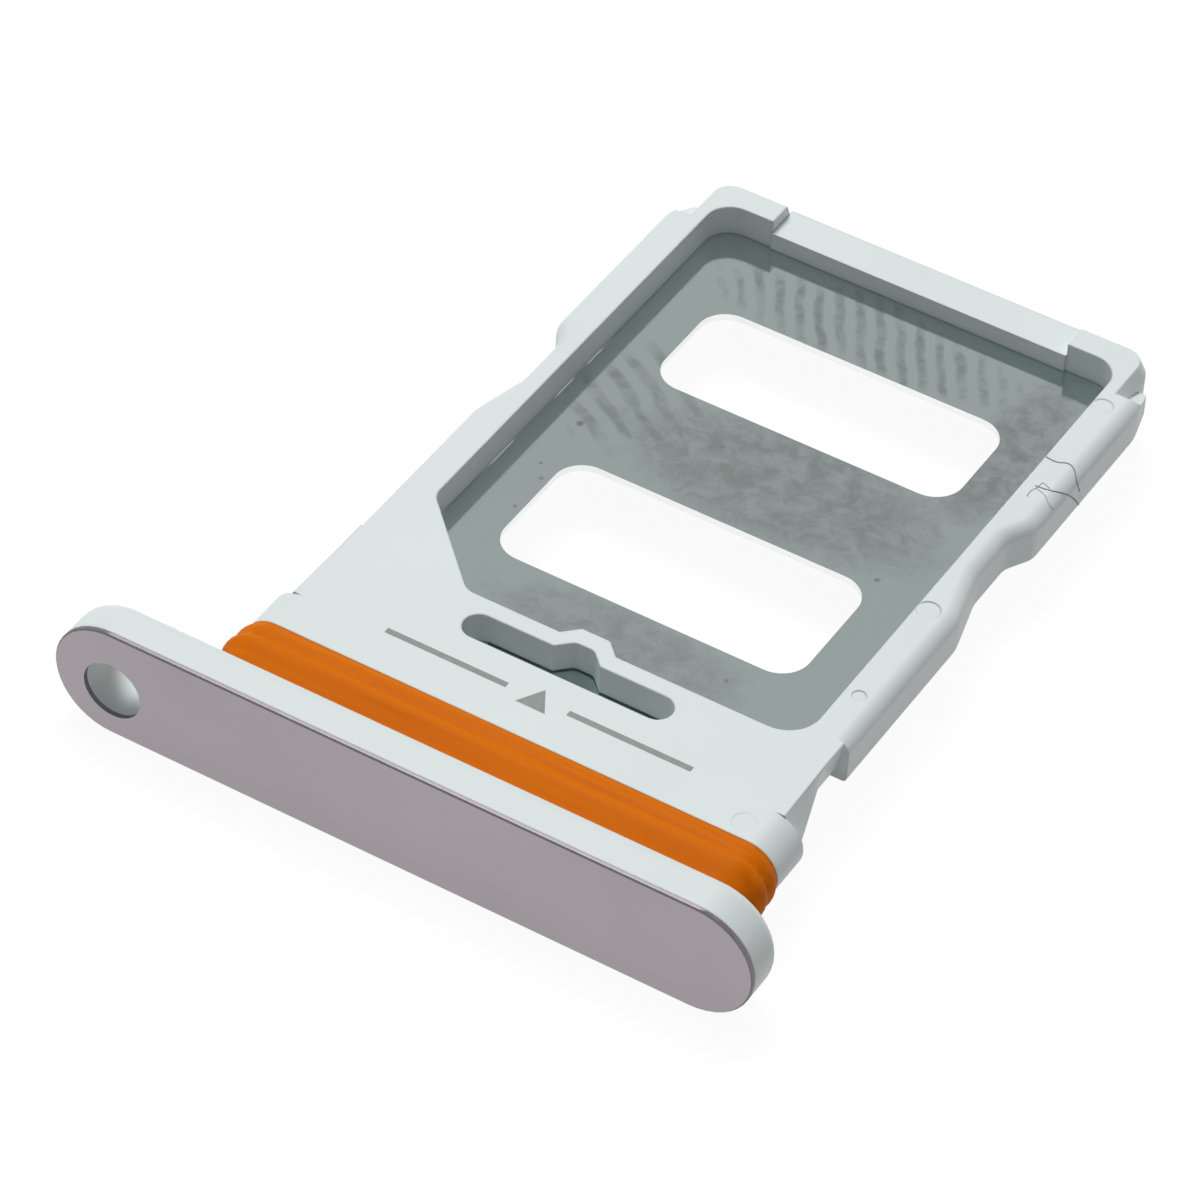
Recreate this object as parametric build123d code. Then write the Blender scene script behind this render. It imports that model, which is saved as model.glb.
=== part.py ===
from build123d import *
import os

# Nano card the tray carries, and the pocket that takes it
card_width = 8.8
card_length = 12.3
card_thickness = 0.67
card_side_clearance = 0.1
card_end_clearance = 0.075
pocket_half = card_width / 2 + card_side_clearance
pocket_length = card_length + 2 * card_end_clearance
rear_corner = 0.55
front_corner = 0.7
key_corner = 1.88
key_blend = 0.4

# Moulded frame round the pocket: top plane at z = 0, front edge of the pocket at y = 0
body_thickness = 0.95
rail_wall = 0.79
rail_half = pocket_half + rail_wall
edge_round = 0.3
under_round = 0.1
rear_bar = 0.7
tail_inset = 0.39
tail_corner = 0.55
tail_bevel_width = 0.14
tail_bevel_drop = 0.3
tail_half = rail_half - tail_inset
tail_end = pocket_length + rear_bar

# Sloping rear end of each rail, which leads the tray into its slot
lead_length = 0.8
lead_shoulder = 0.28
lead_shoulder_drop = 0.3
lead_toe_drop = 0.46
lead_taper_length = 0.85
lead_taper_round = 1.2
lead_narrow = 0.2
lead_corner = 0.15
lead_clear = 0.68
lead_toe = tail_end - lead_clear

# Detent notch in the outer side of each rail
notch_depth = 0.31
notch_start = 4.5
notch_ramp = 1.25
notch_floor = 1.2
notch_back = 0.55
notch_ramp_round = 1.0
notch_back_round = 0.5

# Lowered middle of the rear bar
sill_half = 3.31
sill_drop = 0.27
sill_lip = 0.05
sill_overhang = 0.1
sill_end = tail_end + sill_overhang

# Spring wall between pocket and slot, with the bump that grips the card
wall_thickness = 0.38
bump_height = 0.3
bump_half_base = 0.6
bump_half_top = 0.3
bump_round = 0.12
bump_lift = 0.03
bump_hollow_inset = 0.1
bump_hollow_round = 0.2
slot_length = 4.44
slot_width = 0.65

# Bridge in front of the pocket: narrower than the rails, and thinner outside the plate
bridge_rear = 0.39
bridge_flat = 0.7
bridge_inset = 0.1
bridge_draft = 0.13
bridge_thickness = 0.7
bridge_half = rail_half - bridge_inset
plate_seat_wall = 0.2

# Steel plate moulded into the frame under the pocket
plate_thickness = 0.15
plate_side_grip = 0.2
plate_rear_grip = 0.35
plate_front_reach = 0.5
window_rim = 1.195
window_corner = 0.62
front_window_start = 1.85
front_window_length = 3.04
rear_window_rim = 2.18
rear_window_length = 2.57

# Neck behind the bezel: a long rounded section, with flanks that run back from it into the bridge
bridge_length = 0.8
neck_radius = 0.66
neck_flare = 0.36
neck_length = 0.91
flank_top_inset = 0.07
flank_step = 0.09
neck_axis_z = -neck_radius
neck_half = rail_half + neck_flare
neck_rear = -wall_thickness - slot_width - bridge_length
neck_front = neck_rear - neck_length

# Groove for the seal, and the seal ring that fills it
groove_length = 1.45
core_radius = 0.35
core_half = neck_half - neck_radius
seal_gap = 0.005
seal_edge_drop = 0.04
rear_lip_height = 0.07
rear_lip_length = 0.425
valley_height = 0.04
front_lip_height = 0.1
front_lip_fall = 0.03
front_lip_length = 0.33
front_slope_length = 0.5
front_slope_drop = 0.19
seal_foot = 0.12

# Bezel that fills the opening in the phone's side, and its front trim
bezel_radius = 1.22
bezel_left_reach = 2.57
bezel_right_reach = 0.9
bezel_thickness = 0.88
bezel_back_round = 0.3
trim_thickness = 0.1
trim_edge = 0.03
bezel_left = -neck_half - bezel_left_reach
bezel_right = neck_half + bezel_right_reach
bezel_back = neck_front - groove_length
bezel_front = bezel_back - bezel_thickness
trim_front = bezel_front - trim_thickness

# Eject pin hole through bezel and trim
hole_radius = 0.62
hole_from_end = 1.26
hole_drop = 0.14

# How far a cutting block reaches past the surface that it cuts
over = 1.0

# Shift from the tray's datum to the row frame: origin at the bottom centre of the bounding box
shift = Vector(
    -(bezel_left + bezel_right) / 2,
    -(trim_front + sill_end) / 2,
    bezel_radius - neck_axis_z,
)


def standing(x, y, z):
    """Upright plane across the tray that faces the rear."""
    return Plane((x, y, z), x_dir=(-1, 0, 0), z_dir=(0, 1, 0))


def pill(radius, left, right, y):
    """Long rounded face on the neck axis, standing at y."""
    return standing((left + right) / 2, y, neck_axis_z) * SlotOverall(right - left, 2 * radius)


def slab(face, top, bottom):
    """Plan face pulled to the block between two heights."""
    return Pos(0, 0, bottom) * extrude(face, top - bottom)


def corners(face, half_width, y):
    """Pair of mirrored corners of a plan face."""
    return [v for v in face.vertices() if abs(abs(v.X) - half_width) < 1e-4 and abs(v.Y - y) < 1e-4]


# Rails with their detent notches, across the full width of the frame
floor_half = rail_half - notch_depth
floor_start = notch_start + notch_ramp
floor_end = floor_start + notch_floor
notch_end = floor_end + notch_back
lead_start = lead_toe - lead_length
taper_start = lead_toe - lead_taper_length
toe_half = rail_half - lead_narrow
side = [
    (rail_half, bridge_rear),
    (rail_half, notch_start),
    (floor_half, floor_start),
    (floor_half, floor_end),
    (rail_half, notch_end),
    (rail_half, taper_start),
    (toe_half, lead_toe),
]
outline = make_face(Polyline(*side, *[(-x, y) for x, y in reversed(side)], close=True))
outline = fillet(corners(outline, rail_half, notch_start), notch_ramp_round)
outline = fillet(corners(outline, floor_half, floor_start), notch_ramp_round)
outline = fillet(corners(outline, floor_half, floor_end), notch_back_round)
outline = fillet(corners(outline, rail_half, notch_end), notch_back_round)
outline = fillet(corners(outline, rail_half, taper_start), lead_taper_round)
outline = fillet(corners(outline, toe_half, lead_toe), lead_corner)


def softened(block, *cut_ends):
    """Block with its outer edges rounded above and below, apart from its straight ends at the y given."""
    for index, radius in ((-1, edge_round), (0, under_round)):
        edges = block.faces().sort_by(Axis.Z)[index].outer_wire().edges()
        block = fillet([e for e in edges if min(abs(e.center().Y - y) for y in cut_ends) > 1e-4], radius)
    return block


rails = softened(slab(outline, 0, -body_thickness), bridge_rear, lead_toe)

# Sloping lead-in at the rear end of the rails
lead_section = make_face(
    Polyline(
        (lead_start, 0),
        (lead_start + lead_shoulder, -lead_shoulder_drop),
        (lead_toe, -lead_toe_drop),
        (lead_toe + over, -lead_toe_drop),
        (lead_toe + over, over),
        (lead_start, over),
        close=True,
    )
)
rails -= extrude(Plane.YZ * lead_section, rail_half + over, both=True)

# Narrower tail that stands behind the rails, its top edge bevelled
tail_root = lead_start - tail_inset
tail_face = Pos(0, (tail_root + tail_end) / 2) * Rectangle(2 * tail_half, tail_end - tail_root)
tail_face = fillet(corners(tail_face, tail_half, tail_end), tail_corner)
tail = slab(tail_face, 0, -body_thickness)
tail_top = tail.faces().sort_by(Axis.Z)[-1]
bevel_edges = [e for e in tail_top.outer_wire().edges() if abs(e.center().Y - tail_root) > 1e-4]
tail = chamfer(bevel_edges, tail_bevel_width, tail_bevel_drop, reference=tail_top)
body = rails + tail


# Bridge: drafted sides behind, and flanks that lean out to the neck
def bridge_section(y, top_half, middle_half, bottom_half, depth):
    """Upright face across the bridge at y, as deep as given below the tray's top."""
    right = [(top_half, 0), (middle_half, -depth / 2), (bottom_half, -depth)]
    return standing(0, y, 0) * make_face(Polyline(*right, *[(-x, z) for x, z in reversed(right)], close=True))


flat_halves = (bridge_half, bridge_half - bridge_draft / 2, bridge_half - bridge_draft)
flank_half = rail_half - flank_top_inset
bridge = loft(
    [
        bridge_section(bridge_rear, *flat_halves, bridge_thickness),
        bridge_section(bridge_rear - bridge_flat, *flat_halves, bridge_thickness),
        bridge_section(neck_rear, flank_half, neck_half - flank_step, flank_half, 2 * neck_radius),
    ],
    ruled=True,
)
plate_half = pocket_half + plate_side_grip
seat_front = -plate_front_reach - plate_seat_wall
seat_width = 2 * (plate_half + plate_seat_wall)
seat_face = Pos(0, (bridge_rear + seat_front) / 2) * Rectangle(seat_width, bridge_rear - seat_front)
body += [bridge, slab(seat_face, 0, -body_thickness)]

# Rear bar: its middle is lowered to a sill that the card slides over
sill_gap = Pos(0, pocket_length) * Rectangle(2 * sill_half, 2 * (rear_bar + over))
body -= slab(sill_gap, over, -sill_drop)
sill_front = pocket_length - sill_lip
sill_face = Pos(0, (sill_front + sill_end) / 2) * Rectangle(2 * sill_half, sill_end - sill_front)
sill = slab(sill_face, -sill_drop, -body_thickness)

# Neck: full rounded section behind the seal, and the core inside the seal
neck = extrude(pill(neck_radius, -neck_half, neck_half, neck_front), neck_length)
core_end = core_half + core_radius
core = extrude(pill(core_radius, -core_end, core_end, bezel_back), neck_front - bezel_back)

# Bezel, its rear edge softened, and the eject pin hole
bezel = extrude(pill(bezel_radius, bezel_left, bezel_right, bezel_front), bezel_thickness)
bezel = fillet(bezel.faces().sort_by(Axis.Y)[-1].outer_wire().edges(), bezel_back_round)
hole = extrude(
    standing(bezel_left + hole_from_end, trim_front - over, neck_axis_z - hole_drop) * Circle(hole_radius),
    trim_thickness + bezel_thickness + 2 * over,
)

# Pocket, open through the body, with one corner cut across to key the card
pocket_face = make_face(
    Polyline(
        (pocket_half, 0),
        (pocket_half, pocket_length),
        (-pocket_half, pocket_length),
        (-pocket_half, key_corner),
        (-pocket_half + key_corner, 0),
        close=True,
    )
)
pocket_face = fillet(corners(pocket_face, pocket_half, pocket_length), rear_corner)
pocket_face = fillet(corners(pocket_face, pocket_half, 0), front_corner)
pocket_face = fillet(corners(pocket_face, pocket_half, key_corner), key_blend)
pocket_face = fillet(corners(pocket_face, pocket_half - key_corner, 0), key_blend)


def bump(base_y, inset, corner):
    """Trapezoid of the spring bump standing on a line of the wall, narrowed by the inset on each side."""
    half_base = bump_half_base - inset
    half_top = bump_half_top - inset
    right = [
        (half_top, base_y + bump_height),
        (half_base, base_y),
        (half_base, base_y - wall_thickness / 2),
    ]
    face = make_face(Polyline(*right, *[(-x, y) for x, y in reversed(right)], close=True))
    return fillet(corners(face, half_top, base_y + bump_height), corner)


# The bump stands in the pocket, and the slot behind the wall follows it; wall and bump are free of the plate
pocket = slab(pocket_face - bump(0, 0, bump_round), over, -card_thickness)
pocket += slab(pocket_face, bump_lift - card_thickness, -body_thickness - over)
wall_face = Pos(0, -wall_thickness / 2) * Rectangle(slot_length - slot_width, wall_thickness + slot_width)
pocket += slab(wall_face, bump_lift - card_thickness, -card_thickness)
slot_face = Pos(0, -wall_thickness - slot_width / 2) * SlotOverall(slot_length, slot_width)
slot_face += bump(-wall_thickness, bump_hollow_inset, bump_hollow_round)
slot = slab(slot_face, over, -body_thickness - over)

# Steel plate with its two windows
plate_rear = pocket_length + plate_rear_grip
plate_length = plate_rear + plate_front_reach
plate_face = Pos(0, plate_length / 2 - plate_front_reach) * Rectangle(2 * plate_half, plate_length)
plate_blank = slab(plate_face, -card_thickness, -card_thickness - plate_thickness)
window_half = pocket_half - window_rim
rear_window_start = pocket_length - rear_window_rim - rear_window_length
card_plate = plate_blank
for start, length in ((front_window_start, front_window_length), (rear_window_start, rear_window_length)):
    window = Pos(0, start + length / 2) * RectangleRounded(2 * window_half, length, window_corner)
    card_plate -= slab(window, over, -body_thickness - over)

tray_frame = body + neck + core + bezel
tray_frame = tray_frame - pocket + sill
tray_frame = tray_frame - hole - slot - plate_blank

# Front trim, its front edge broken
trim = extrude(pill(bezel_radius, bezel_left, bezel_right, trim_front), trim_thickness)
trim = chamfer(trim.faces().sort_by(Axis.Y)[0].outer_wire().edges(), trim_edge)
face_plate = trim - hole

# Seal: two low lips with a shallow valley between them and a slope in front, swept round the core
path = Plane((0, 0, neck_axis_z), x_dir=(1, 0, 0), z_dir=(0, -1, 0)) * Wire(
    [
        Edge.make_line((0, core_radius), (core_half, core_radius)),
        Edge.make_three_point_arc((core_half, core_radius), (core_end, 0), (core_half, -core_radius)),
        Edge.make_line((core_half, -core_radius), (-core_half, -core_radius)),
        Edge.make_three_point_arc((-core_half, -core_radius), (-core_end, 0), (-core_half, core_radius)),
        Edge.make_line((-core_half, core_radius), (0, core_radius)),
    ]
)
seal_rear = neck_front - seal_gap
seal_front = bezel_back + seal_gap
groove_depth = neck_radius - core_radius
edge = (seal_rear, groove_depth - seal_edge_drop)
rear_crest = (seal_rear - rear_lip_length / 2, groove_depth + rear_lip_height)
valley = (seal_rear - rear_lip_length, groove_depth + valley_height)
front_crest = (valley[0] - front_lip_length / 2, groove_depth + front_lip_height)
front_lip_end = (valley[0] - front_lip_length, front_crest[1] - front_lip_fall)
slope_end = (front_lip_end[0] - front_slope_length, front_lip_end[1] - front_slope_drop)
seal_section = make_face(
    [
        Line((seal_front, 0), (seal_rear, 0)),
        Line((seal_rear, 0), edge),
        ThreePointArc(edge, rear_crest, valley),
        ThreePointArc(valley, front_crest, front_lip_end),
        Line(front_lip_end, slope_end),
        Line(slope_end, (seal_front, seal_foot)),
        Line((seal_front, seal_foot), (seal_front, 0)),
    ]
)
seal_plane = Plane((0, 0, neck_axis_z + core_radius), x_dir=(0, 1, 0), z_dir=(1, 0, 0))
seal_ring = sweep(seal_plane * seal_section, path=path)

os.makedirs("parts", exist_ok=True)
for name, piece in (
    ("tray_frame", tray_frame),
    ("card_plate", card_plate),
    ("seal_ring", seal_ring),
    ("face_plate", face_plate),
):
    placed = Pos(shift) * piece
    placed.label = name
    export_step(placed, f"parts/{name}.step")
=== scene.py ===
import math

import bpy
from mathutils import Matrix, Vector


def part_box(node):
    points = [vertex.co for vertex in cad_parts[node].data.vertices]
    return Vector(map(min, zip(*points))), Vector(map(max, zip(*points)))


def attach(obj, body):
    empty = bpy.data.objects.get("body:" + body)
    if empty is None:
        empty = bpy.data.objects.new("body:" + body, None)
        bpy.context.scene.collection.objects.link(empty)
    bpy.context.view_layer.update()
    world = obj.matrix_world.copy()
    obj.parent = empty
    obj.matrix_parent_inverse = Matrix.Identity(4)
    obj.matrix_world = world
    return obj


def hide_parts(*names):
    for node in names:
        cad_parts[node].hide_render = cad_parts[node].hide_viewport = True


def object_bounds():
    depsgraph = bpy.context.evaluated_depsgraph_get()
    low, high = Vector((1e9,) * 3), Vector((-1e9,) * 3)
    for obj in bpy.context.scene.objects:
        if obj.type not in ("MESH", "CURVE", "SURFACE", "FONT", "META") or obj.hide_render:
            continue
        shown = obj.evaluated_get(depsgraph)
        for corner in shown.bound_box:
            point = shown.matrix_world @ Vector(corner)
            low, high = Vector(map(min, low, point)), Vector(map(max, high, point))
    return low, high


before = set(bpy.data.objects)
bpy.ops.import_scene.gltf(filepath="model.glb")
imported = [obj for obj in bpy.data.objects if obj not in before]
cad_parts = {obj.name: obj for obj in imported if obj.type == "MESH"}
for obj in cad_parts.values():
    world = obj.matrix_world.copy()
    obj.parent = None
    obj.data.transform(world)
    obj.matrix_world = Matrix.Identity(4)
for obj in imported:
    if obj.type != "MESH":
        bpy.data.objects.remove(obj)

MM = 0.001
cad_low, cad_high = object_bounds()

# Frame of the tray.
# One injection moulding of white satin plastic: bezel body, neck, front bridge, two rails and the rear bar.
# Ejector pins pushed it out of its mould and left shallow round marks along the rails.


def select_only(piece):
    """Selects one piece and makes it active."""
    bpy.ops.object.select_all(action="DESELECT")
    piece.select_set(True)
    bpy.context.view_layer.objects.active = piece


def take_copy(node_name, piece_name):
    """Copies a CAD node as a new piece, merges its loose triangles and joins its flat facets."""
    piece = bpy.data.objects.new(piece_name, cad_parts[node_name].data.copy())
    bpy.context.scene.collection.objects.link(piece)
    select_only(piece)
    piece.data.materials.clear()
    bpy.ops.object.mode_set(mode="EDIT")
    bpy.ops.mesh.select_all(action="SELECT")
    bpy.ops.mesh.remove_doubles(threshold=0.001 * MM)
    bpy.ops.mesh.dissolve_limited(angle_limit=math.radians(0.5))
    bpy.ops.object.mode_set(mode="OBJECT")
    return piece


def apply_modifier(piece, kind, **settings):
    """Adds a modifier to a piece, with its settings, and applies it."""
    modifier = piece.modifiers.new(kind.lower(), kind)
    for name, value in settings.items():
        setattr(modifier, name, value)
    select_only(piece)
    bpy.ops.object.modifier_apply(modifier=modifier.name)


def shade_creased(piece, crease_angle):
    """Shades a piece smooth, keeps its creases above an angle sharp and its square flats flat."""
    select_only(piece)
    bpy.ops.object.mode_set(mode="EDIT")
    bpy.ops.mesh.select_all(action="SELECT")
    bpy.ops.mesh.faces_shade_smooth()
    bpy.ops.mesh.select_all(action="DESELECT")
    bpy.context.tool_settings.mesh_select_mode = (False, True, False)
    bpy.ops.mesh.edges_select_sharp(sharpness=math.radians(crease_angle))
    bpy.ops.mesh.mark_sharp()
    bpy.context.tool_settings.mesh_select_mode = (False, False, True)
    bpy.ops.mesh.select_all(action="DESELECT")
    bpy.ops.object.mode_set(mode="OBJECT")
    for face in piece.data.polygons:
        face.select = max(abs(part) for part in face.normal) > 0.99999
    bpy.ops.object.mode_set(mode="EDIT")
    bpy.ops.mesh.mod_weighted_strength(set=True, face_strength="STRONG")
    bpy.ops.object.mode_set(mode="OBJECT")
    apply_modifier(piece, "WEIGHTED_NORMAL", keep_sharp=True, weight=50, use_face_influence=True)


def linear(hex_colour):
    """Turns an sRGB hex colour into the linear values that a shader takes."""
    parts = [int(hex_colour[i:i + 2], 16) / 255 for i in (1, 3, 5)]
    return [p / 12.92 if p <= 0.04045 else ((p + 0.055) / 1.055) ** 2.4 for p in parts] + [1.0]


def add_node(tree, kind, inputs=None, **settings):
    """Adds a node to a tree, with its settings, and links or sets its inputs."""
    node = tree.nodes.new(kind)
    for name, value in settings.items():
        setattr(node, name, value)
    for name, value in (inputs or {}).items():
        if isinstance(value, bpy.types.NodeSocket):
            tree.links.new(value, node.inputs[name])
        else:
            node.inputs[name].default_value = value
    return node


def start_material(name):
    """Starts a material: gives it, its node tree, its shader and the object coordinates for its patterns."""
    material = bpy.data.materials.new(name)
    material.use_nodes = True
    tree = material.node_tree
    place = add_node(tree, "ShaderNodeTexCoord").outputs["Object"]
    return material, tree, tree.nodes["Principled BSDF"], place


def noise(tree, place, size, detail, **inputs):
    """A cloudy pattern with patches of about a size, from 0 to 1."""
    inputs.update({"Vector": place, "Scale": 1 / size, "Detail": detail})
    return add_node(tree, "ShaderNodeTexNoise", inputs).outputs["Fac"]


def blend(tree, amount, low_colour, high_colour, **settings):
    """Mixes two sRGB hex colours by an amount."""
    inputs = {0: amount, 6: linear(low_colour), 7: linear(high_colour)}
    return add_node(tree, "ShaderNodeMix", inputs, data_type="RGBA", **settings).outputs[2]


def ramp(tree, value, start, end, low=0.0, high=1.0, kind="LINEAR"):
    """Turns a value that runs from start to end into one that runs from low to high."""
    inputs = {0: value, 1: start, 2: end, 3: low, 4: high}
    return add_node(tree, "ShaderNodeMapRange", inputs, interpolation_type=kind).outputs["Result"]


def work_out(tree, operation, *values):
    """Works out one sum on values."""
    return add_node(tree, "ShaderNodeMath", dict(enumerate(values)), operation=operation).outputs["Value"]


def measured_from(tree, place, origin, units, turn=0):
    """Measures a place from an origin, in a unit of length along each axis, after a turn in degrees."""
    inputs = {"Vector": place, "Location": origin, "Rotation": (0, 0, math.radians(turn)), "Scale": units}
    return add_node(tree, "ShaderNodeMapping", inputs, vector_type="TEXTURE").outputs["Vector"]


def length_of(tree, vector):
    """The length of a vector."""
    return add_node(tree, "ShaderNodeVectorMath", {0: vector}, operation="LENGTH").outputs["Value"]


plate_low, plate_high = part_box("card_plate")
plate_reach = 0.5 * MM
pocket_depth = 0.67 * MM
pocket_middle = (plate_low.x + plate_high.x) / 2
pocket_front = Vector((pocket_middle, plate_low.y + plate_reach, plate_high.z + pocket_depth))


def on_tray(x, y, z=0.0):
    """A point in millimetres from the middle of the pocket's front edge, on the tray's top."""
    return pocket_front + Vector((x, y, z)) * MM


# The rims of the pocket and of the slot are rounded over.
moulding = take_copy("tray_frame", "white_frame")
rim_round = 0.02 * MM
rim_half_width = 4.6 * MM
bpy.ops.object.mode_set(mode="EDIT")
bpy.context.tool_settings.mesh_select_mode = (False, True, False)
bpy.ops.mesh.select_all(action="DESELECT")
bpy.ops.mesh.edges_select_sharp(sharpness=math.radians(60))
bpy.ops.object.mode_set(mode="OBJECT")
rim = []
for edge in moulding.data.edges:
    ends = [moulding.data.vertices[i].co - pocket_front for i in edge.vertices]
    if edge.select and all(abs(end.z) < 0.001 * MM and abs(end.x) < rim_half_width for end in ends):
        rim.append(edge.index)
bpy.ops.object.mode_set(mode="EDIT")
bpy.ops.mesh.select_all(action="DESELECT")
bpy.ops.object.mode_set(mode="OBJECT")
for index in rim:
    moulding.data.edges[index].select = True
bpy.ops.object.mode_set(mode="EDIT")
bpy.ops.mesh.bevel(offset=rim_round, segments=3, clamp_overlap=False)
bpy.ops.object.mode_set(mode="OBJECT")
shade_creased(moulding, 40)

# Polycarbonate blend, moulded with a fine satin texture.
# It gives the eye a cool white that is even from a step away, with a soft broad sheen that varies a little.
satin_plastic, tree, shader, place = start_material("satin_white_polycarbonate")
cloud_size = 2.2 * MM
cloud = noise(tree, place, cloud_size, 3.0)
tree.links.new(blend(tree, cloud, "#DDE8E8", "#E6EFEF"), shader.inputs["Base Color"])
tree.links.new(ramp(tree, cloud, 0.0, 1.0, 0.42, 0.52), shader.inputs["Roughness"])
# A mould's corners are never quite sharp: each edge turns the light over 0.06 mm.
edge_round = 0.06 * MM
softened = add_node(tree, "ShaderNodeBevel", {"Radius": edge_round}, samples=6)
# The real texture is about 0.02 mm, drawn at 0.06 mm so that it still shows.
grain_size = 0.06 * MM
grain_height = 0.004 * MM
grain = noise(tree, place, grain_size, 2.0)
relief = add_node(tree, "ShaderNodeBump", {"Height": grain, "Strength": 0.12, "Distance": grain_height,
                                           "Normal": softened.outputs["Normal"]})
# Each pin mark: its middle on the tray, its radius and its depth in mm. It is deepest at its rear edge.
pin_marks = [
    (4.74, 4.3, 0.26, 0.06),
    (4.73, 11.2, 0.24, 0.05),
    (4.8, 1.6, 0.16, 0.06),
    (4.7, -2.35, 0.26, 0.02),
]
pin_edge = 0.08
for x, y, pin_radius, pin_depth in pin_marks:
    around = measured_from(tree, place, on_tray(x, y), (MM, MM, MM))
    step = ramp(tree, length_of(tree, around), pin_radius - pin_edge, pin_radius, kind="SMOOTHSTEP")
    along = add_node(tree, "ShaderNodeSeparateXYZ", {"Vector": around}).outputs["Y"]
    slope = ramp(tree, along, pin_radius, -pin_radius)
    hollow = work_out(tree, "MAXIMUM", step, slope)
    relief = add_node(tree, "ShaderNodeBump", {"Height": hollow, "Distance": pin_depth * MM,
                                               "Normal": relief.outputs["Normal"]})
tree.links.new(relief.outputs["Normal"], shader.inputs["Normal"])
shader.inputs["IOR"].default_value = 1.58
shader.inputs["Specular IOR Level"].default_value = 0.4
moulding.data.materials.append(satin_plastic)
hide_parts("tray_frame")
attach(moulding, "root")

# Hairline scratches.
# Fine scratches in the satin skin of the right rail, from the pocket's rim over its round edge.
# They were made in handling, and are dark with dust.
# Each scratch: its width in mm and the points that it passes near.
scratch_routes = [
    (0.032, [(4.52, 9.29, 0), (4.75, 9.24, 0), (4.93, 9.37, 0), (5.09, 9.33, -0.02), (5.2, 9.22, -0.09),
             (5.28, 9.13, -0.2), (5.29, 9.3, -0.5)]),
    (0.03, [(4.74, 8.45, 0), (5.0, 8.46, 0), (5.14, 8.56, -0.04), (5.27, 8.76, -0.18), (5.29, 9.1, -0.54),
            (5.29, 9.35, -0.88)]),
    (0.02, [(4.75, 8.09, 0), (4.72, 8.28, 0), (4.81, 8.43, 0), (4.8, 8.62, 0), (4.93, 8.56, 0),
            (5.01, 8.53, 0)]),
    (0.018, [(4.8, 8.39, 0), (5.02, 8.33, 0), (5.12, 8.22, -0.03), (5.2, 8.17, -0.09), (5.26, 8.23, -0.17)]),
]
strands = []
for scratch_width, route in scratch_routes:
    wire = bpy.data.curves.new("scratch", "CURVE")
    wire.dimensions = "3D"
    spline = wire.splines.new("NURBS")
    spline.points.add(len(route) - 1)
    for point, (x, y, z) in zip(spline.points, route):
        point.co = (*on_tray(x, y, z), 1.0)
    spline.order_u = 3
    spline.use_endpoint_u = True
    strand = bpy.data.objects.new("scratch", wire)
    bpy.context.scene.collection.objects.link(strand)
    select_only(strand)
    bpy.ops.object.convert(target="MESH")
    apply_modifier(strand, "SHRINKWRAP", target=moulding, wrap_method="NEAREST_SURFACEPOINT")
    bpy.ops.object.convert(target="CURVE")
    strand.data.bevel_depth = scratch_width / 2 * MM
    strand.data.bevel_resolution = 1
    strand.data.use_fill_caps = True
    bpy.ops.object.convert(target="MESH")
    strands.append(strand)
for strand in strands:
    strand.select_set(True)
bpy.context.view_layer.objects.active = strands[0]
bpy.ops.object.join()
scratches = bpy.context.object
scratches.name = "rail_scratches"

# Fine grey dust caught in a scratch.
# It gives the eye a thin broken line, darker where the dust lies thicker.
dust, tree, shader, place = start_material("dust_in_scratch")
clump_size = 0.2 * MM
clumps = noise(tree, place, clump_size, 3.0)
tree.links.new(blend(tree, clumps, "#6E7678", "#AEB8B9"), shader.inputs["Base Color"])
shader.inputs["Roughness"].default_value = 0.8
scratches.data.materials.append(dust)
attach(scratches, "root")

# Card plate.
# Stainless sheet 0.15 mm thick, blanked with two windows and moulded into the frame under the pocket.
# Its rolled surface is smooth enough to mirror the pocket's walls, and it carries finger marks.
sheet_steel = take_copy("card_plate", "steel_plate")
shade_creased(sheet_steel, 30)

# Cold-rolled stainless steel with a bright mill finish.
# It gives the eye a grey mirror that doubles the pocket's walls, with skin ridges and dull finger marks.
rolled_steel, tree, shader, place = start_material("rolled_stainless_steel")
shader.inputs["Metallic"].default_value = 1.0
ragged_size = 0.5 * MM
ragged = noise(tree, place, ragged_size, 3.0)
mottle_size = 0.5 * MM
mottle = noise(tree, place, mottle_size, 6.0, Roughness=0.7, Distortion=0.35)
spots = ramp(tree, mottle, 0.4, 0.6)
# The marks stay on the sheet's upper side.
mark_depth = 0.1 * MM
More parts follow.
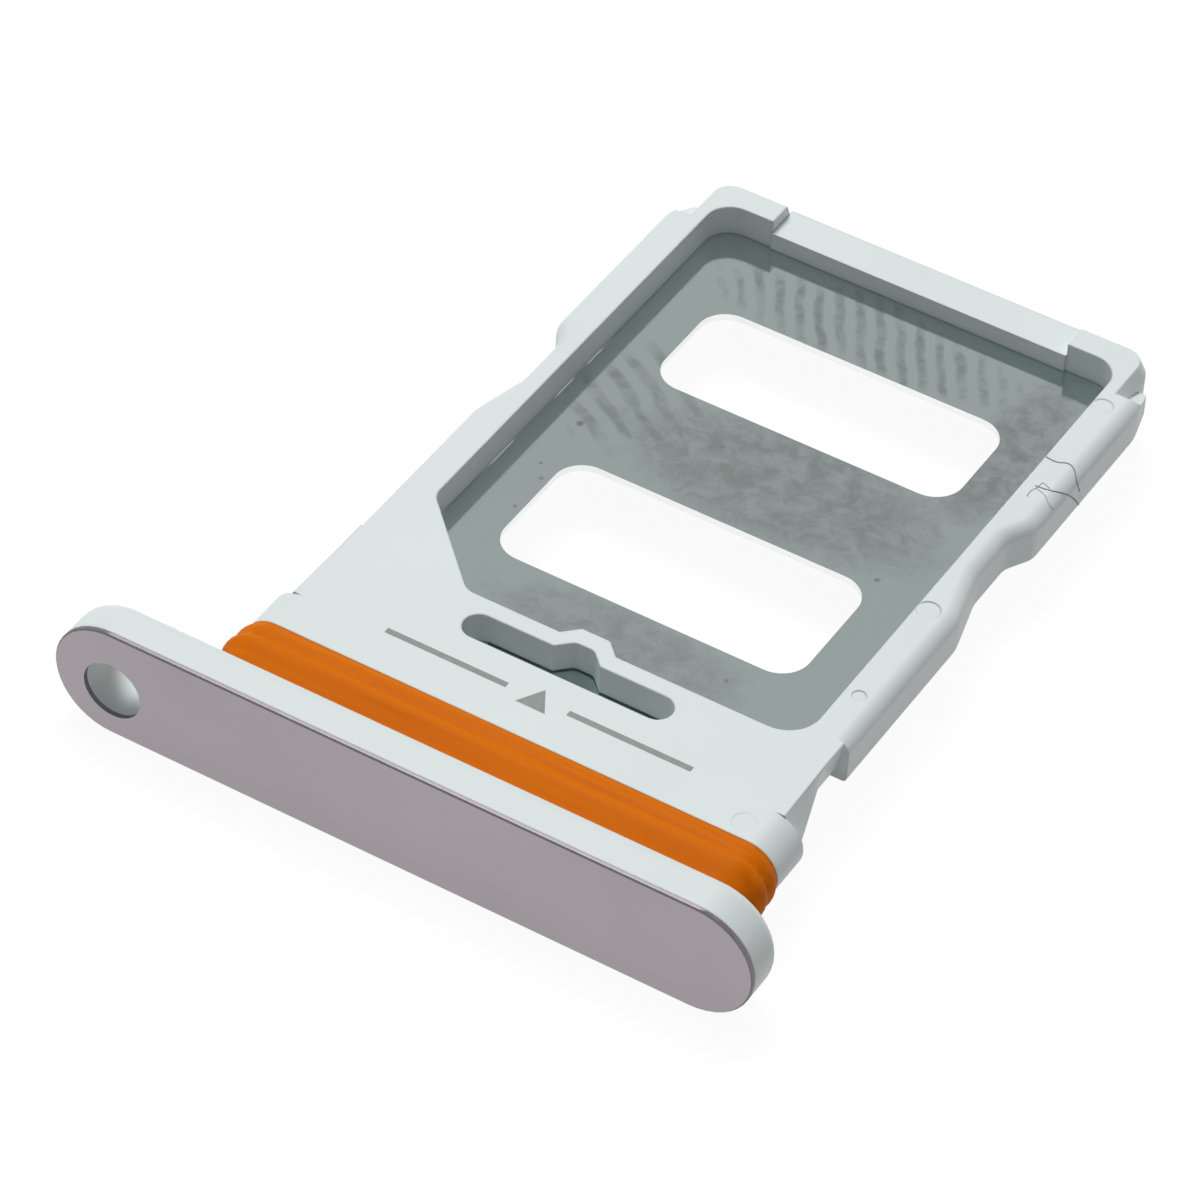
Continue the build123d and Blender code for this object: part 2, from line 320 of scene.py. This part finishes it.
# Each patch: its middle and half lengths on the plate in mm, and its skin ridges' turn and spacing, if any.
touch_patches = [
    ((-0.3, 11.15), (3.5, 1.1), 31, 0.39),
    ((-3.0, 7.1), (1.5, 1.7), 56, 0.52),
    ((0.5, 6.4), (3.7, 1.8), None, None),
    ((0.1, 1.0), (2.9, 0.95), None, None),
    ((3.6, 9.6), (0.9, 2.6), None, None),
]
touched = 0.0
for (x, y), (half_x, half_y), turn, spacing in touch_patches:
    middle = on_tray(x, y) - Vector((0, 0, pocket_depth))
    patch = measured_from(tree, place, middle, (half_x * MM, half_y * MM, mark_depth))
    patch_edge = work_out(tree, "MULTIPLY_ADD", ragged, 0.8, length_of(tree, patch))
    amount = ramp(tree, patch_edge, 1.0, 1.5, 1.0, 0.0, kind="SMOOTHSTEP")
    if spacing:
        across = measured_from(tree, place, middle, (1, 1, 1), turn)
        ridges = add_node(tree, "ShaderNodeTexWave",
                          {"Vector": across, "Scale": math.pi / 10 / (spacing * MM), "Distortion": 2.6,
                           "Detail": 2.5, "Detail Scale": 1.1, "Detail Roughness": 0.6},
                          wave_type="BANDS", bands_direction="X")
        ridge = ramp(tree, ridges.outputs["Fac"], 0.3, 0.9)
        strokes = work_out(tree, "MULTIPLY", ridge, ramp(tree, spots, 0.0, 1.0, 1.0, 0.35))
    else:
        strokes = work_out(tree, "MULTIPLY_ADD", spots, 0.75, 0.25)
    touched = work_out(tree, "MAXIMUM", touched, work_out(tree, "MULTIPLY", amount, strokes))
# Each speck of dried dirt: its middle on the plate and its radius in mm.
specks = [
    (2.28, 1.21, 0.09),
    (-1.08, 6.74, 0.1),
    (3.23, 5.14, 0.09),
    (-3.71, 4.4, 0.07),
    (-3.48, 4.04, 0.09),
    (-3.47, 3.09, 0.06),
    (-3.69, 5.8, 0.1),
]
speck_amount = 1.35
for x, y, speck_radius in specks:
    middle = on_tray(x, y) - Vector((0, 0, pocket_depth))
    speck = measured_from(tree, place, middle, (speck_radius * MM, speck_radius * MM, mark_depth))
    speck_edge = work_out(tree, "MULTIPLY_ADD", mottle, 1.6, length_of(tree, speck))
    touched = work_out(tree, "MAXIMUM", touched, ramp(tree, speck_edge, 1.0, 1.8, speck_amount, 0.0))
greys = blend(tree, touched, "#C6D3D2", "#9AA3A1", clamp_factor=False)
tree.links.new(greys, shader.inputs["Base Color"])
tree.links.new(ramp(tree, touched, 0.0, 1.0, 0.09, 0.17), shader.inputs["Roughness"])
# The mould pinched the sheet up a little at the foot of the left wall, so a broken bright line shows there.
pinch_width = 0.035
pinch_height = 0.011 * MM
pinch_start = 1.5
pinch_end = 9.0
pinch_fade = 0.8
wall_foot = measured_from(tree, place, on_tray(-4.5, 0.0), (MM, MM, MM))
from_foot = add_node(tree, "ShaderNodeSeparateXYZ", {"Vector": wall_foot})
rise = ramp(tree, from_foot.outputs["X"], 0.0, pinch_width, 1.0, 0.0)
begun = ramp(tree, from_foot.outputs["Y"], pinch_start, pinch_start + pinch_fade)
going = ramp(tree, from_foot.outputs["Y"], pinch_end, pinch_end - pinch_fade)
pinch = work_out(tree, "MULTIPLY", rise, work_out(tree, "MULTIPLY", begun, going))
break_size = 0.7 * MM
unbroken = ramp(tree, noise(tree, place, break_size, 2.0), 0.38, 0.6)
relief = add_node(tree, "ShaderNodeBump", {"Height": work_out(tree, "MULTIPLY", pinch, unbroken),
                                           "Distance": pinch_height})
tree.links.new(relief.outputs["Normal"], shader.inputs["Normal"])
sheet_steel.data.materials.append(rolled_steel)

# The same sheet where the punch sheared it, round both windows, in a lighter copy of the steel colour.
# It gives the eye a thin bright line along each window's edge, a painted highlight.
blanked_steel_painted_highlight, tree, shader, place = start_material("blanked_edge_painted_highlight")
shader.inputs["Metallic"].default_value = 1.0
tear_size = 0.06 * MM
tear = noise(tree, place, tear_size, 2.0)
# Near white, lighter than the sheet's own steel: a painted highlight along the cut edges.
tree.links.new(blend(tree, tear, "#EEF2F1", "#FCFDFD"), shader.inputs["Base Color"])
shader.inputs["Roughness"].default_value = 0.3
sheet_steel.data.materials.append(blanked_steel_painted_highlight)
for face in sheet_steel.data.polygons:
    if abs(face.normal.z) < 0.5:
        face.material_index = 1
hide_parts("card_plate")
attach(sheet_steel, "root")

# Way-in mark.
# Grey ink printed on the front bridge with a soft pad.
# A plain arrow head points the way the tray goes in, between two rules.
ink_height = 0.004 * MM
mark_y = -1.74
arrow_width = 0.62 * MM
rule_length = 2.6 * MM
rule_width = 0.13 * MM
rule_offset = 1.95
bpy.ops.object.select_all(action="DESELECT")
bpy.ops.mesh.primitive_circle_add(vertices=3, radius=arrow_width / math.sqrt(3), fill_type="NGON",
                                  location=on_tray(0, mark_y - 0.08))
print_mark = bpy.context.object
print_mark.name = "way_in_mark"
for side in (-1, 1):
    bpy.ops.mesh.primitive_plane_add(size=1, location=on_tray(side * rule_offset, mark_y))
    rule = bpy.context.object
    rule.scale = (rule_length, rule_width, 1)
    print_mark.select_set(True)
    bpy.context.view_layer.objects.active = print_mark
    bpy.ops.object.join()
bpy.ops.object.transform_apply(location=True, rotation=True, scale=True)
bpy.ops.object.mode_set(mode="EDIT")
bpy.ops.mesh.select_all(action="SELECT")
bpy.ops.mesh.extrude_region_move(TRANSFORM_OT_translate={"value": (0, 0, ink_height)})
bpy.ops.mesh.select_all(action="SELECT")
bpy.ops.mesh.normals_make_consistent(inside=False)
bpy.ops.object.mode_set(mode="OBJECT")

# Two-part printing ink, laid thin by a silicone pad.
# It gives the eye a flat mid grey that is a little uneven where the film is thinner.
grey_ink, tree, shader, place = start_material("pad_printed_grey_ink")
film_size = 0.15 * MM
film = noise(tree, place, film_size, 3.0)
tree.links.new(blend(tree, film, "#7C8280", "#9AA19F"), shader.inputs["Base Color"])
shader.inputs["Roughness"].default_value = 0.55
print_mark.data.materials.append(grey_ink)
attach(print_mark, "root")

# Seal.
# Ring of orange liquid silicone rubber with two lips, moulded and stretched over the neck into its groove.
# Its rear edge swells out of the groove and lies flush with the neck.
seal = take_copy("seal_ring", "silicone_seal")
seal_low, seal_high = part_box("seal_ring")
neck_radius = 0.66 * MM
neck_half = 5.65 * MM
edge_drop = 0.04 * MM
edge_radius = neck_radius - edge_drop
axis = Vector((pocket_front.x, seal_high.y, pocket_front.z - neck_radius))
bpy.ops.object.mode_set(mode="EDIT")
bpy.context.tool_settings.mesh_select_mode = (True, False, False)
bpy.ops.mesh.select_all(action="DESELECT")
bpy.ops.object.mode_set(mode="OBJECT")
for point in seal.data.vertices:
    from_axis = point.co - axis
    radius = math.hypot(max(abs(from_axis.x) - neck_half + neck_radius, 0), from_axis.z)
    point.select = abs(from_axis.y) < 0.001 * MM and radius > 0.9 * edge_radius
bpy.ops.object.mode_set(mode="EDIT")
swell = (neck_half / (neck_half - edge_drop), 1, neck_radius / edge_radius)
bpy.ops.transform.resize(value=swell, center_override=axis)
bpy.ops.object.mode_set(mode="OBJECT")
shade_creased(seal, 50)

# Pigmented silicone rubber.
# It gives the eye a saturated orange with faint streaks along the lips, part flow in the rubber and part
# painted highlight and shade, and a little light inside thin edges.
silicone, tree, shader, place = start_material("orange_silicone_rubber")
flow_and_sheen_size = 0.16 * MM
flow_and_sheen_stretch = (0.04, 1.0, 1.0)
stretched = add_node(tree, "ShaderNodeMapping", {"Vector": place, "Scale": flow_and_sheen_stretch})
flow_and_painted_sheen = noise(tree, stretched.outputs["Vector"], flow_and_sheen_size, 4.0)
# Lighter and darker orange bands along the seal: part flow streaks, part painted highlight and shade of the
# lips.
tree.links.new(blend(tree, flow_and_painted_sheen, "#CE6204", "#EC800E"), shader.inputs["Base Color"])
shader.inputs["Roughness"].default_value = 0.5
shader.inputs["IOR"].default_value = 1.41
shader.inputs["Specular IOR Level"].default_value = 0.06
shader.inputs["Subsurface Weight"].default_value = 0.15
shader.inputs["Subsurface Radius"].default_value = (0.3 * MM, 0.1 * MM, 0.03 * MM)
shader.inputs["Subsurface Scale"].default_value = 1.0
seal.data.materials.append(silicone)
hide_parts("seal_ring")
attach(seal, "root")

# Face plate.
# Thin aluminium trim bonded to the front of the bezel, so that it matches the side of the phone.
# It is pressed from sheet, chamfered round its edge, pierced for the eject pin, blasted with beads and dyed.
trim = take_copy("face_plate", "lilac_face_plate")
shade_creased(trim, 30)

# Aluminium, bead blasted and anodised in lilac grey.
# It gives the eye an even soft metal without streaks.
anodised, tree, shader, place = start_material("bead_blasted_lilac_aluminium")
shader.inputs["Metallic"].default_value = 1.0
dye_size = 3.0 * MM
dye = noise(tree, place, dye_size, 4.0)
tree.links.new(blend(tree, dye, "#A29BA0", "#ACA5AA"), shader.inputs["Base Color"])
shader.inputs["Roughness"].default_value = 0.45
# Bead craters are about 0.03 mm across, drawn at 0.07 mm so that they show.
crater_size = 0.07 * MM
crater_depth = 0.006 * MM
craters = add_node(tree, "ShaderNodeTexVoronoi", {"Vector": place, "Scale": 1 / crater_size})
relief = add_node(tree, "ShaderNodeBump", {"Height": craters.outputs["Distance"], "Strength": 0.15,
                                           "Distance": crater_depth})
tree.links.new(relief.outputs["Normal"], shader.inputs["Normal"])
trim.data.materials.append(anodised)

# The sheet's sheared and chamfered rim, dyed with the rest, in a darker copy of the lilac as painted shade.
# It gives the eye a thin dark line of painted shade round the lilac face and in the eject hole.
sheared, tree, shader, place = start_material("lilac_rim_painted_shade")
shader.inputs["Metallic"].default_value = 1.0
shear_size = 0.2 * MM
shear = noise(tree, place, shear_size, 3.0)
# Darker than the lilac face: painted shade along the rim and in the eject hole.
tree.links.new(blend(tree, shear, "#736D72", "#827C81"), shader.inputs["Base Color"])
shader.inputs["Roughness"].default_value = 0.5
trim.data.materials.append(sheared)
for face in trim.data.polygons:
    if face.normal.y > -0.9:
        face.material_index = 1
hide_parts("face_plate")
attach(trim, "root")

# Table.
# A plain white sheet under the tray.
# It is white to the eye, keeps the tray's soft shadow and sends back pale light.


def seen_by_eye(tree):
    """1 where a surface is seen, also in a mirror or through glass, and 0 where it only lights others."""
    light_path = add_node(tree, "ShaderNodeLightPath").outputs
    seen = work_out(tree, "MAXIMUM", light_path["Is Camera Ray"], light_path["Is Glossy Ray"])
    seen_through = work_out(tree, "MAXIMUM", seen, light_path["Is Transmission Ray"])
    direct = work_out(tree, "LESS_THAN", light_path["Diffuse Depth"], 0.5)
    return work_out(tree, "MULTIPLY", seen_through, direct)


table_size = 400 * MM
white_share = 0.88
white_strength = 1.07
bpy.ops.object.select_all(action="DESELECT")
bpy.ops.mesh.primitive_plane_add(size=table_size, location=(0, 0, cad_low.z))
table = bpy.context.object
table.name = "table"
paper = bpy.data.materials.new("matt_white_paper")
paper.use_nodes = True
tree = paper.node_tree
tree.nodes.clear()
share = work_out(tree, "MULTIPLY", seen_by_eye(tree), white_share)
matt = add_node(tree, "ShaderNodeBsdfDiffuse", {"Color": linear("#D6D6D6")})
white = add_node(tree, "ShaderNodeEmission", {"Color": (1, 1, 1, 1), "Strength": white_strength})
surface = add_node(tree, "ShaderNodeMixShader", {0: share, 1: matt.outputs["BSDF"],
                                                 2: white.outputs["Emission"]})
add_node(tree, "ShaderNodeOutputMaterial", {"Surface": surface.outputs["Shader"]})
table.data.materials.append(paper)

# Studio.
# Even light from all round, and a broad soft lamp overhead.
# The white backdrop darkens towards the ceiling.
ambient_strength = 0.22
ceiling_start = 0.3
ceiling_end = 0.65
ceiling_strength = 0.52
world = bpy.data.worlds.new("studio")
bpy.context.scene.world = world
world.use_nodes = True
tree = world.node_tree
tree.nodes.clear()
direction = add_node(tree, "ShaderNodeTexCoord").outputs["Generated"]
height = add_node(tree, "ShaderNodeSeparateXYZ", {"Vector": direction}).outputs["Z"]
ceiling = ramp(tree, height, ceiling_start, ceiling_end, 1.0, ceiling_strength)
ambient = add_node(tree, "ShaderNodeBackground", {"Color": linear("#FBF8F5"), "Strength": ambient_strength})
backdrop = add_node(tree, "ShaderNodeBackground", {"Color": (1, 1, 1, 1), "Strength": ceiling})
sky = add_node(tree, "ShaderNodeMixShader", {0: seen_by_eye(tree), 1: ambient.outputs["Background"],
                                             2: backdrop.outputs["Background"]})
add_node(tree, "ShaderNodeOutputWorld", {"Surface": sky.outputs["Shader"]})

lamp_place = Vector((-90, 90, 300)) * MM
bpy.ops.object.light_add(type="AREA", location=lamp_place)
lamp = bpy.context.object
lamp.name = "overhead_softbox"
lamp.data.size = 150 * MM
lamp.data.energy = 0.79
lamp.rotation_euler = (-lamp_place).to_track_quat("-Z", "Y").to_euler()

# Camera.
# A long lens from the front right, 43 degrees above the tray.
camera_place = Vector((39.193, -72.679, 76.001)) * MM
camera_angles = (47.073, -2.494, 31.389)
bpy.ops.object.camera_add(location=camera_place, rotation=[math.radians(a) for a in camera_angles])
camera = bpy.context.object
camera.data.sensor_width = 36.0
camera.data.lens = 177.66
camera.data.clip_start = 1 * MM
camera.data.clip_end = 10.0
bpy.context.scene.camera = camera
bpy.context.scene.view_settings.view_transform = "Standard"
